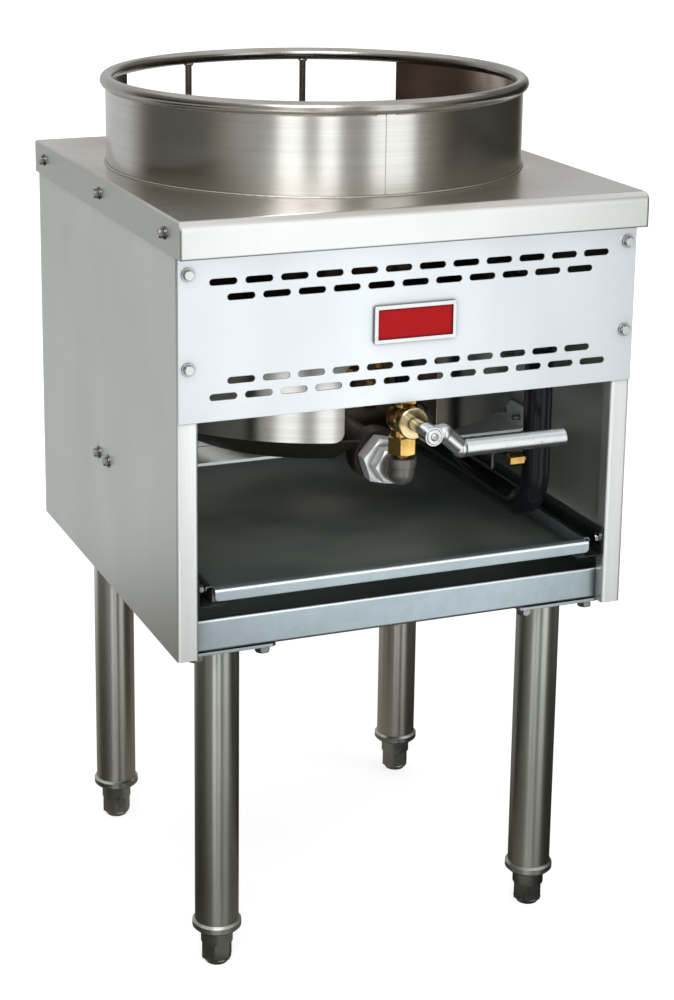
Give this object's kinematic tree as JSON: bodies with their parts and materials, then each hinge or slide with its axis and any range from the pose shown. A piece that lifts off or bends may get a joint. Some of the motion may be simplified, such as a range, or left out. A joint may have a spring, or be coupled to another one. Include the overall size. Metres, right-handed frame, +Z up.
{
  "type": "wok burner",
  "caption": "Stainless wok burner: round ring on a square cabinet with slotted front panel, lever gas valve, jet burner, slide-out drip tray and four tube legs with screw feet.",
  "frame": {"origin": "on the floor, at the middle of the footprint's box", "axes": "+Z up, front towards -Y, +X to the right"},
  "size_m": [0.467, 0.5326, 0.8344],
  "materials": {
    "stainless_sheet": "fine brushed stainless sheet",
    "brushed_stainless": "coarse brushed stainless",
    "galvanised_steel": "zinc-coated sheet, satin",
    "bright_steel": "satin bright steel",
    "dark_cast_iron": "dark cast iron, matt",
    "malleable_iron": "grey malleable iron, slightly rough",
    "brass": "machined brass",
    "black_paint": "gloss black paint on pipe",
    "red_enamel": "gloss red enamel"
  },
  "bodies": {
    "cabinet": {"left_side_panel": "stainless_sheet", "right_side_panel": "stainless_sheet", "back_panel": "stainless_sheet", "deck": "stainless_sheet", "vent_panel": "stainless_sheet", "ring_wall": "brushed_stainless", "ring_rim": "brushed_stainless", "ring_rods": "brushed_stainless", "leg_front_left": "brushed_stainless", "leg_front_right": "brushed_stainless", "leg_rear_left": "brushed_stainless", "leg_rear_right": "brushed_stainless", "burner_strap": "galvanised_steel", "inlet_bushing": "galvanised_steel", "left_runner": "galvanised_steel", "right_runner": "galvanised_steel", "front_rail": "galvanised_steel", "rear_rail": "galvanised_steel", "leg_plates": "galvanised_steel", "back_panel_bolts": "bright_steel", "deck_bolts": "bright_steel", "vent_panel_bolts": "bright_steel", "strap_bolts": "bright_steel", "burner_screws": "bright_steel", "runner_bolts": "bright_steel", "leg_plate_bolts": "bright_steel", "leg_collars": "bright_steel", "badge_frame": "bright_steel", "pilot_tube": "bright_steel", "chamber_floor": "dark_cast_iron", "burner_body": "dark_cast_iron", "inlet_collar": "dark_cast_iron", "valve_elbow": "dark_cast_iron", "corner_elbow": "dark_cast_iron", "lower_elbow": "malleable_iron", "close_nipple": "malleable_iron", "burner_jets": "brass", "valve_body": "brass", "valve_bonnet": "brass", "pilot_valve": "brass", "pilot_tip": "brass", "supply_pipe": "black_paint", "manifold_pipe": "black_paint", "riser_nipple": "black_paint", "badge_plate": "red_enamel"},
    "lever_handle": {"lever": "bright_steel", "valve_stem": "bright_steel", "lever_screw": "bright_steel"},
    "tray": {"drip_tray": "galvanised_steel"},
    "front_left_foot": {"foot_front_left": "brushed_stainless"},
    "front_right_foot": {"foot_front_right": "brushed_stainless"},
    "rear_left_foot": {"foot_rear_left": "brushed_stainless"},
    "rear_right_foot": {"foot_rear_right": "brushed_stainless"}
  },
  "joints": [
    {"name": "lever_turn", "type": "hinge", "parent": "cabinet", "child": "lever_handle", "pos_m": [0, -0.25525, 0.5435], "axis": [0, 1, 0], "range_deg": [0, 90]},
    {"name": "tray_slide", "type": "slide", "parent": "cabinet", "child": "tray", "axis": [0, -1, 0], "range_m": [0, 0.43]},
    {"name": "front_left_foot_screw", "type": "slide", "parent": "cabinet", "child": "front_left_foot", "axis": [0, 0, -1], "range_m": [0, 0.025]},
    {"name": "front_right_foot_screw", "type": "slide", "parent": "cabinet", "child": "front_right_foot", "axis": [0, 0, -1], "range_m": [0, 0.025]},
    {"name": "rear_left_foot_screw", "type": "slide", "parent": "cabinet", "child": "rear_left_foot", "axis": [0, 0, -1], "range_m": [0, 0.025]},
    {"name": "rear_right_foot_screw", "type": "slide", "parent": "cabinet", "child": "rear_right_foot", "axis": [0, 0, -1], "range_m": [0, 0.025]}
  ]
}
